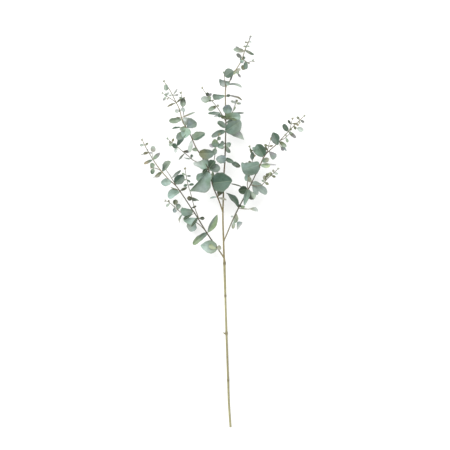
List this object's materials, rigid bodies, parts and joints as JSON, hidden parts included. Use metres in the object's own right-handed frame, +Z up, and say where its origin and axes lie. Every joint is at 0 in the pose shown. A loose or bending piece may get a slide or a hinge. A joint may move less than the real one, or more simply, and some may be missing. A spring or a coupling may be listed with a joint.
{
  "type": "eucalyptus branch",
  "caption": "Long cut eucalyptus branch lying on a surface: a bare cane that forks into slender leafy stems with round blue-green leaves, thinning to small tips.",
  "frame": {"origin": "on the surface that the branch lies on, under the middle of its box", "axes": "+Y from the cut end to the leafy tips, +Z up from the surface, +X to the right as seen from above with the tips away"},
  "size_m": [0.4156, 0.9822, 0.0803],
  "materials": {
    "cane_bark": "smooth matte bark, pale brown-grey with faint lengthwise streaks",
    "leaf": "matte waxy leaf, grey blue-green with a paler bloom",
    "twig_bark": "smooth satin bark, tan to olive brown"
  },
  "bodies": {
    "root": {"cane": "cane_bark", "leader": "leaf", "branch_left": "leaf", "branch_right": "leaf", "branch_centre": "leaf", "twig_left_1": "leaf", "twig_left_2": "leaf", "twig_left_3": "leaf", "twig_left_4": "leaf", "twig_right_1": "leaf", "twig_right_2": "leaf", "twig_right_3": "leaf", "twig_right_4": "leaf", "twig_right_5": "leaf", "twig_centre_1": "leaf", "twig_centre_2": "leaf", "twig_centre_3": "leaf", "twig_centre_4": "leaf", "twig_leader_1": "leaf", "twig_leader_2": "leaf", "twig_leader_3": "leaf", "twig_leader_4": "leaf"}
  },
  "joints": []
}
